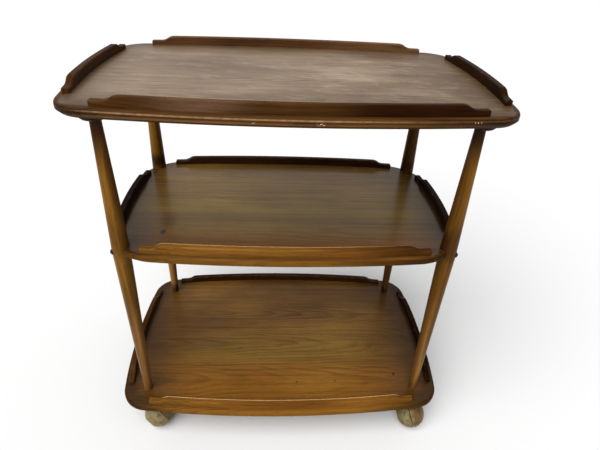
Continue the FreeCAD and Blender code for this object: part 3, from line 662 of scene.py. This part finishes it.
# %% Dress the middle tray
MIDDLE_BOARDS = {"seam": -0.06, "width": 0.13, "tilt": -0.03, "spacing": 0.0055}
MIDDLE_TONES = ((119, 93, 38), (146, 116, 50), (167, 135, 62))
BACK_BROWN = (150, 112, 64)
BROWN_BACK = (0.0, 0.12)
OLIVE_GREEN = (140, 120, 46)
GREEN_BAND = (-0.07, -0.02)
FRONT_ORANGE = (130, 82, 38)
ORANGE_FRONT = (-0.08, -0.15)
FRONT_SHADE_TONE = (60, 36, 14)
MIDDLE_SHADED_FRONT = (-0.02, -0.07)
LESS_SHADE_RIGHT = (0.12, 0.24)
MIDDLE_DIRT_AND_SHADE = (58, 40, 18)
MIDDLE_RIM = {"tone": (116, 78, 24), "dark_tone": (46, 24, 4), "left": -0.3, "right": 0.13}
MIDDLE_RUBBED = (184, 140, 84)
HALO = {"place": (-0.225, -0.075), "radius": 0.04}
HALO_RED = (88, 48, 30)
KNOT = {"place": (-0.228, -0.113), "radius": 0.012}
KNOT_BROWN = (52, 32, 12)


def banded_stain(finish, grain):
    """Olive stain with a brown back, a greenish band and an orange front darkened by a painted shade."""
    along, across = grain[:2]
    stain = tray_stain(finish, grain, 4.0, MIDDLE_TONES, right_shade=0.2)
    browned = finish.mix(finish.smooth(across, *BROWN_BACK) * 0.4, stain, shade(*BACK_BROWN))
    green = finish.between(across, *GREEN_BAND, soft=0.03)
    tinted = finish.mix(green * 0.35, browned, shade(*OLIVE_GREEN))
    fronted = finish.mix(finish.smooth(across, *ORANGE_FRONT) * 0.7, tinted, shade(*FRONT_ORANGE))
    # painted shade over the front, weaker towards the right end
    strength = 0.5 - finish.smooth(along, *LESS_SHADE_RIGHT) * 0.3
    return finish.mix(finish.smooth(across, *MIDDLE_SHADED_FRONT) * strength, fronted, shade(*FRONT_SHADE_TONE))


def middle_tray_wood():
    """Olive gold, more orange at the front and darker there from a painted shade, with a knot."""
    finish = Finish("middle_tray_wood")
    grain = grain_coordinates(finish, "X")
    along, across = grain[:2]
    halo = spot(finish, along, across, **HALO) * 0.4
    haloed = finish.mix(halo, banded_stain(finish, grain), shade(*HALO_RED))
    knotted = finish.mix(spot(finish, along, across, **KNOT) * 0.8, haloed, shade(*KNOT_BROWN))
    # dirt and painted shade at the tray's two ends
    dirt = end_dirt_and_shade(finish, along, across, "middle_tray")
    dirtied_and_shaded = finish.mix(dirt, knotted, shade(*MIDDLE_DIRT_AND_SHADE))
    edged = finish.mix(rim(finish), dirtied_and_shaded, rim_stain(finish, along, **MIDDLE_RIM))
    return lacquered_wood(
        finish, grain, rings=board_rings(finish, grain, **MIDDLE_BOARDS) * 0.6,
        stain=dull_ends(finish, along, edged, amount=0.8), worn=shade(*MIDDLE_RUBBED),
        edge=rubbed_edges(finish, grain, radius=0.0015, amount=0.15) * 0.5,
        gloss=0.22, sheen=0.03, lacquer=flat(finish) * 0.75)


dress(middle_tray_wood(), "middle_tray")
print("middle tray dressed")

# %% [markdown]
# The bottom tray shows its boards: an orange one at the front, a greenish one behind it, then brown,
# with three dark specks. It is made as the middle one is, with its own tones.

# %% Dress the bottom tray
BOTTOM_BOARDS = {"seam": -0.102, "width": 0.122, "tilt": 0.08, "spacing": 0.0065}
BOTTOM_TONES = ((102, 69, 27), (129, 92, 36), (150, 112, 46))
BOARD_GREEN = (122, 99, 36)
GREEN_ACROSS = (-0.09, 0.0)
GREEN_ALONG = (-0.2, 0.16)
BOARD_ORANGE = (135, 86, 27)
ORANGE_BOARD = (-0.07, -0.12)
BOTTOM_DIRT_AND_SHADE = (56, 38, 16)
BOTTOM_RIM = {"tone": (124, 83, 26), "dark_tone": (52, 34, 11), "left": -0.26, "right": 0.22}
BOTTOM_RUBBED = (190, 146, 86)
SPECKS = (((0.256, -0.126), 0.007), ((0.033, -0.146), 0.004), ((0.119, -0.144), 0.0035))
SPECK_BROWN = (36, 20, 8)


def bottom_tray_wood():
    """Orange-brown boards at the front, a greenish one behind them, then brown."""
    finish = Finish("bottom_tray_wood")
    grain = grain_coordinates(finish, "X")
    along, across = grain[:2]
    stain = tray_stain(finish, grain, 8.0, BOTTOM_TONES, right_shade=0.4)
    green = finish.between(across, *GREEN_ACROSS, soft=0.03) * finish.between(along, *GREEN_ALONG, soft=0.1)
    tinted = finish.mix(green * 0.45, stain, shade(*BOARD_GREEN))
    fronted = finish.mix(finish.smooth(across, *ORANGE_BOARD) * 0.5, tinted, shade(*BOARD_ORANGE))
    specks = sum(spot(finish, along, across, place, radius) for place, radius in SPECKS)
    specked = finish.mix(specks * 0.8, fronted, shade(*SPECK_BROWN))
    # dirt and painted shade at the tray's two ends
    dirt = end_dirt_and_shade(finish, along, across, "bottom_tray")
    dirtied_and_shaded = finish.mix(dirt, specked, shade(*BOTTOM_DIRT_AND_SHADE))
    edged = finish.mix(rim(finish), dirtied_and_shaded, rim_stain(finish, along, **BOTTOM_RIM))
    return lacquered_wood(
        finish, grain, rings=board_rings(finish, grain, **BOTTOM_BOARDS) * 0.8,
        stain=dull_ends(finish, along, edged, amount=0.6), worn=shade(*BOTTOM_RUBBED),
        edge=rubbed_edges(finish, grain, radius=0.0015, amount=0.15) * 0.5,
        gloss=0.28, sheen=0.03, lacquer=flat(finish) * 0.4)


dress(bottom_tray_wood(), "bottom_tray")
print("bottom tray dressed, with", len(SPECKS), "specks")

# %% [markdown]
# The gallery rails are the same wood, with the grain along each piece. It was cut far from the heart of the
# log, so the rings run almost straight. The front rails have been handled most: they are rubbed pale along
# the inner upper edge, which also carries a painted highlight, and reddish at the right end, darkened there
# by a painted shade, and the top one is paler left of its middle. All three are made by one function, and a
# table says how they differ.

# %% Dress the front rails
FAR_HEART = (0.4, -0.3)
EDGE_LINE_WIDTH = 0.0042
EDGE_LINE_HEIGHTS = (0.010, 0.015)
FACING_BACK = (0.02, 0.12)
PALE_RUB_AND_HIGHLIGHT = (232, 192, 130)
PALE_PATCH = (128, 98, 78)
PALE_STRETCH = (-0.19, -0.08)
TOE_BROWN = (78, 50, 20)
BROWN_TOE = (-0.16, -0.24)
SHADE_RED = (38, 14, 1)
DARKENING = 0.16
DARK_TONES = ((48, 28, 11), (78, 51, 21), (94, 65, 28))
GOLD_TONES = ((94, 58, 20), (121, 78, 28), (144, 99, 38))
FRONT_RAILS = {
    "top": {"tones": DARK_TONES, "paleness": 0.45, "dark_from": -0.03, "darkness": 0.92},
    "middle": {"tones": GOLD_TONES, "paleness": 0.0, "dark_from": 0.07, "darkness": 0.75},
    "bottom": {"tones": GOLD_TONES, "paleness": 0.0, "dark_from": 0.14, "darkness": 0.45}}


def straight_rings(finish, grain):
    """Growth rings far from the heart of the log."""
    return growth_rings(finish, grain, FAR_HEART, tilt=0.02, spacing=0.005) * 0.6


def front_rail_stain(finish, grain, seed, tones, paleness, shaded_end):
    """Stain of a front rail: brown at its left toe, then paler, and reddish at its right end, darkened
    there by a painted shade.
    """
    along = grain[0]
    stain = clouded_stain(finish, grain, seed, tones)
    # paler left of the middle of the rail
    paled_stretch = finish.mix(finish.between(along, *PALE_STRETCH, soft=0.05) * paleness, stain, shade(*PALE_PATCH))
    toed = finish.mix(finish.smooth(along, *BROWN_TOE) * 0.5, paled_stretch, shade(*TOE_BROWN))
    # painted shade: reddish and darker towards the right end
    return finish.mix(shaded_end, toed, shade(*SHADE_RED))


def front_rail_wood(tray, seed, tones, paleness, dark_from, darkness):
    """A front rail, rubbed pale along its inner upper edge, which also carries a painted highlight."""
    finish = Finish(f"{tray}_front_rail_wood")
    grain = grain_coordinates(finish, "X")
    # painted shade towards the right end, which also fades the pale edge there
    shaded_end = finish.smooth(grain[0], dark_from, dark_from + DARKENING) * darkness
    height = grain[2] - reach(f"{tray}_gallery_front", "Z", min)
    upper = finish.smooth(height, *EDGE_LINE_HEIGHTS)
    inner = finish.smooth(finish.part(finish.rounded(EDGE_LINE_WIDTH), "Y"), *FACING_BACK)
    # the inner upper edge is rubbed pale and also carries a painted highlight
    edge = rubbed_edges(finish, grain, EDGE_LINE_WIDTH, amount=0.6)
    return lacquered_wood(
        finish, grain, rings=straight_rings(finish, grain),
        stain=front_rail_stain(finish, grain, seed, tones, paleness, shaded_end), worn=shade(*PALE_RUB_AND_HIGHLIGHT),
        edge=edge * upper * inner * (1.0 - shaded_end), gloss=0.34, sheen=0.02)


for number, tray in enumerate(FRONT_RAILS):
    dress(front_rail_wood(tray, number, **FRONT_RAILS[tray]), f"{tray}_gallery_front")
print(len(FRONT_RAILS), "front rails dressed")

# %% [markdown]
# The end rails are darker than the front ones, and the back rails are paler at the top and dark lower down.
# Much of that is painted: the top back rail's lighter tones are a painted light, and the darker tones of
# the middle end rails, the right end rails and the lower back rails are painted shade. Nobody has handled
# these much, so they are dull and only a little rubbed. Each has its own seed, so that no two rails show
# the same clouds.

# %% Dress the back and end rails
NARROW_EDGE = 0.0016
DULL_EDGE = (110, 78, 48)
# the two darkest tone sets carry painted shade
DEEP_SHADE_TONES = ((16, 6, 1), (27, 12, 2), (40, 21, 5))
DIM_SHADE_TONES = ((24, 11, 2), (38, 20, 4), (52, 30, 8))
WARM_TONES = ((44, 23, 7), (66, 38, 11), (80, 50, 18))
SHADED_TONES = ((36, 18, 8), (56, 30, 12), (70, 41, 18))
# the top back rail's lighter tones carry painted light
LIT_BACK_TONES = ((64, 40, 20), (92, 62, 36), (108, 78, 50))
PLAIN_RAILS = {
    "back": {"direction": "X", "seed": 4.0, "rub": 0.2, "gloss": 0.36, "sheen": 0.06},
    "left": {"direction": "Y", "seed": 8.0, "rub": 0.12, "gloss": 0.4, "sheen": 0.03},
    "right": {"direction": "Y", "seed": 12.0, "rub": 0.12, "gloss": 0.4, "sheen": 0.03}}
PLAIN_TONES = {
    "back": {"top": LIT_BACK_TONES, "middle": SHADED_TONES, "bottom": SHADED_TONES},
    "left": {"top": WARM_TONES, "middle": DEEP_SHADE_TONES, "bottom": WARM_TONES},
    "right": {"top": DIM_SHADE_TONES, "middle": DEEP_SHADE_TONES, "bottom": DIM_SHADE_TONES}}


def plain_rail_wood(tray, side, number):
    """A back or end rail, dull and little rubbed."""
    rail = PLAIN_RAILS[side]
    finish = Finish(f"{tray}_{side}_rail_wood")
    grain = grain_coordinates(finish, rail["direction"])
    return lacquered_wood(
        finish, grain, rings=straight_rings(finish, grain),
        stain=clouded_stain(finish, grain, rail["seed"] + number, PLAIN_TONES[side][tray]),
        worn=shade(*DULL_EDGE), edge=rubbed_edges(finish, grain, NARROW_EDGE, rail["rub"]),
        gloss=rail["gloss"], sheen=rail["sheen"])


for side, tones in PLAIN_TONES.items():
    for number, tray in enumerate(tones):
        dress(plain_rail_wood(tray, side, number), f"{tray}_gallery_{side}")
print("rails dressed on", len(PLAIN_RAILS), "more sides")

# %% [markdown]
# The turned legs have stayed golden, with dark streaks along them; some golden streaks are partly a painted
# highlight, and a painted light makes them paler low down, most on the left legs. A painted shade makes
# them darkest on their inner sides, where they meet a tray, and on the back right leg, with some on the
# other back leg. The shade at a joint is measured from the trays, so it stays there if a tray is set
# higher. One finish serves all four legs and their pads, because it reads where a point lies on the
# trolley.

# %% Dress the legs and pads
CORNERS = ("front_left", "front_right", "back_left", "back_right")
LEG_TONES = ((88, 55, 13), (117, 78, 21), (136, 95, 30))
LEG_GOLD_AND_HIGHLIGHT = (156, 110, 38)
LEG_PAINTED_LIGHT = (176, 130, 74)
LEG_DARK = (38, 16, 3)
LEG_RUBBED = (168, 122, 72)
DARKEST = 0.95
INNER_SIDE = (-0.02, -0.21)
RIGHT_LEGS = (0.0, 0.2)
BACK_LEGS = (0.0, 0.1)
LIT_LOW_HEIGHTS = (0.42, 0.24)
FOOT_SHADE = (0.05, 0.01)
HEEL_SHADE = (0.0, 0.038)
SHELF_RISE = (-0.04, 0.0)
SHELF_FALL = (0.1, 0.02)
HEAD_SHADE = (0.11, 0.02)


def leg_joints(finish, height, inwards, right, back):
    """Shade where a leg meets the trays, from 0 to about 1."""
    above_bottom = height - reach("bottom_tray", "Z")
    above_middle = height - reach("middle_tray", "Z")
    below_top = reach("top_tray", "Z", min) - height
    foot = finish.smooth(above_bottom, *FOOT_SHADE) * (inwards * 0.3 + back * 0.45 + 0.4)
    heel = finish.between(above_middle, *HEEL_SHADE, soft=0.016) * back * 0.9
    ring = finish.smooth(above_middle, *SHELF_RISE) * finish.smooth(above_middle, *SHELF_FALL)
    shelf = ring * (inwards * 0.3 + right * 0.2 + 0.4)
    head = finish.smooth(below_top, *HEAD_SHADE) * (right * 0.08 + 0.87)
    return finish.maths("MAXIMUM", shelf, heel) + foot + head


def leg_wood():
    """Golden wood with dark streaks, golden streaks that are partly a painted highlight, painted light low
    down, and painted shade that makes it darkest inwards, at the joints and on the back right leg.
    """
    finish = Finish("leg_wood")
    grain = grain_coordinates(finish, "Z")
    height, x, y = grain
    # the side of each leg that faces inwards, where painted shade goes
    inwards = finish.smooth(finish.part(finish.normal(), "X") * x, *INNER_SIDE)
    right = finish.smooth(x, *RIGHT_LEGS)
    back = finish.smooth(y, *BACK_LEGS)
    broad = grain_noise(finish, grain, lengthways=3.0, sideways=42.0, detail=2.0, shift=4.0)
    stain = clouded_stain(finish, grain, 5.0, LEG_TONES)
    # golden streaks, partly a painted highlight
    golden_and_highlit = finish.mix(finish.smooth(broad, 0.5, 0.34) * 0.35, stain, shade(*LEG_GOLD_AND_HIGHLIGHT))
    # painted light: paler low down, most on the left legs
    low = finish.smooth(height, *LIT_LOW_HEIGHTS) * (0.7 - right * 0.4)
    lit_low_down = finish.mix(low, golden_and_highlit, shade(*LEG_PAINTED_LIGHT))
    # dark streaks, with painted shade on the inner sides
    streak = finish.maths("MAXIMUM", finish.smooth(broad, 0.5, 0.68) * 0.5, inwards * 0.6)
    # painted shade on the back legs, most on the back right one
    streaks_and_far_shade = finish.maths("MAXIMUM", streak, back * (right * 0.55 + 0.2))
    joints = leg_joints(finish, height, inwards, right, back)
    dark = finish.maths("MINIMUM", finish.maths("MAXIMUM", streaks_and_far_shade, joints), DARKEST)
    # the dark tone carries the streaks and all the painted shade
    return lacquered_wood(
        finish, grain, rings=straight_rings(finish, grain),
        stain=finish.mix(dark, lit_low_down, shade(*LEG_DARK)), worn=shade(*LEG_RUBBED),
        edge=rubbed_edges(finish, grain, NARROW_EDGE, amount=0.1), gloss=0.3, sheen=0.05)


leg_finish = leg_wood()
for corner in CORNERS:
    dress(leg_finish, f"{corner}_leg", f"{corner}_leg_pad")
print(len(CORNERS), "legs dressed")

# %% [markdown]
# The casters are pressed metal with an old lacquer: a bronze-brown hood and a paler wheel, both
# scuffed and a little dirty. The front right wheel has tarnished most. Each wheel carries a matt band
# that meets the floor. A little metallic under the lacquer is enough: a bare metal would mirror the
# white studio. The same finish, in steel's tones and more metallic, serves the plates, pins, axles
# and screws.

# %% Dress the casters and fastenings
HOOD_TONES = ((80, 61, 33), (103, 82, 48), (132, 111, 75))
WHEEL_TONES = ((98, 86, 52), (120, 106, 66), (140, 126, 86))
TARNISHED_TONES = ((84, 74, 34), (103, 91, 44), (122, 110, 58))
STEEL_TONES = ((96, 94, 90), (140, 138, 132), (176, 174, 168))
BAND_OLIVE = (116, 102, 62)
BAND_DIRT = (64, 52, 34)
CAP_DARK = (14, 7, 4)
CAP_BROWN = (38, 21, 12)
METAL_EDGE = 0.0012
SOFT_SHINE = 0.15


def even_noise(finish, count, detail, roughness=0.5):
    """Noise with so many swings to the metre, the same in every direction."""
    x, y, z = finish.place()
    return finish.noise(finish.vector(x * count, y * count, z * count), detail, roughness)


def worn_metal(name, tones, metallic, gloss):
    """Lacquered metal with rubbed edges and grime."""
    finish = Finish(name)
    x, y, z = finish.place()
    scuff = finish.noise(finish.vector(x * 220.0, y * 220.0, z * 380.0), 3.0, 0.65)
    paint = toned(finish, even_noise(finish, 60.0, detail=4.0, roughness=0.6), tones, spread=0.2)
    rubbed = finish.edges(METAL_EDGE) * finish.smooth(scuff, 0.4, 0.6)
    finish.bump(scuff, strength=0.12, distance=0.0004)
    return finish.close(
        Base_Color=finish.mix(rubbed, paint, shade(*tones[-1])), Roughness=gloss + scuff * 0.25,
        Metallic=metallic, Specular_IOR_Level=SOFT_SHINE)


def matt_band():
    """Matt tyre with dirt in its surface."""
    finish = Finish("tyre_band")
    dirt = even_noise(finish, 90.0, detail=4.0, roughness=0.65)
    colour = finish.mix(finish.smooth(dirt, 0.4, 0.75), shade(*BAND_OLIVE), shade(*BAND_DIRT))
    finish.bump(dirt, strength=0.15, distance=0.0004)
    return finish.close(Base_Color=colour, Roughness=0.55 + dirt * 0.2)


def dark_cap():
    """Dark domed screw cap with a soft shine."""
    finish = Finish("dark_cap")
    cloud = even_noise(finish, 300.0, detail=3.0)
    colour = finish.mix(cloud, shade(*CAP_DARK), shade(*CAP_BROWN))
    return finish.close(
        Base_Color=colour, Roughness=0.35 + cloud * 0.2, Specular_IOR_Level=SOFT_SHINE)


hood_metal = worn_metal("hood_metal", HOOD_TONES, metallic=0.3, gloss=0.36)
wheel_metal = worn_metal("wheel_metal", WHEEL_TONES, metallic=0.2, gloss=0.36)
tarnished_metal = worn_metal("tarnished_metal", TARNISHED_TONES, metallic=0.2, gloss=0.36)
steel = worn_metal("steel", STEEL_TONES, metallic=0.9, gloss=0.30)
tyre_band = matt_band()
for corner in CORNERS:
    dress(hood_metal, f"{corner}_hood")
    dress(wheel_metal, f"{corner}_wheel")
    dress(tyre_band, f"{corner}_tyre")
    dress(steel, f"{corner}_caster_plate", f"{corner}_swivel_pin", f"{corner}_axle")
dress(tarnished_metal, "front_right_wheel")
dress(steel, "middle_tray_screws", "caster_plate_screws")
dress(dark_cap(), "screw_caps")
print(len(CORNERS), "casters dressed")

# %% [markdown]
# The floor is a plain pale sheet. It is part of the studio, and not of the trolley.

# %% Lay the floor
FLOOR_SIZE = 60
FLOOR_GREYS = (0.68, 0.71)
FLOOR_CLOUDS = 0.7


def make_floor():
    """A wide pale floor at the wheels."""
    bpy.ops.mesh.primitive_plane_add(size=FLOOR_SIZE)
    floor = bpy.context.object
    floor.name = "floor"
    finish = Finish("pale_floor")
    x, y = finish.place()[:2]
    cloud = finish.noise(finish.vector(x * FLOOR_CLOUDS, y * FLOOR_CLOUDS, 0.0))
    darker, paler = ((grey, grey, grey, 1.0) for grey in FLOOR_GREYS)
    floor.data.materials.append(finish.close(Base_Color=finish.mix(cloud, darker, paler), Roughness=0.9))


make_floor()
print("floor laid")
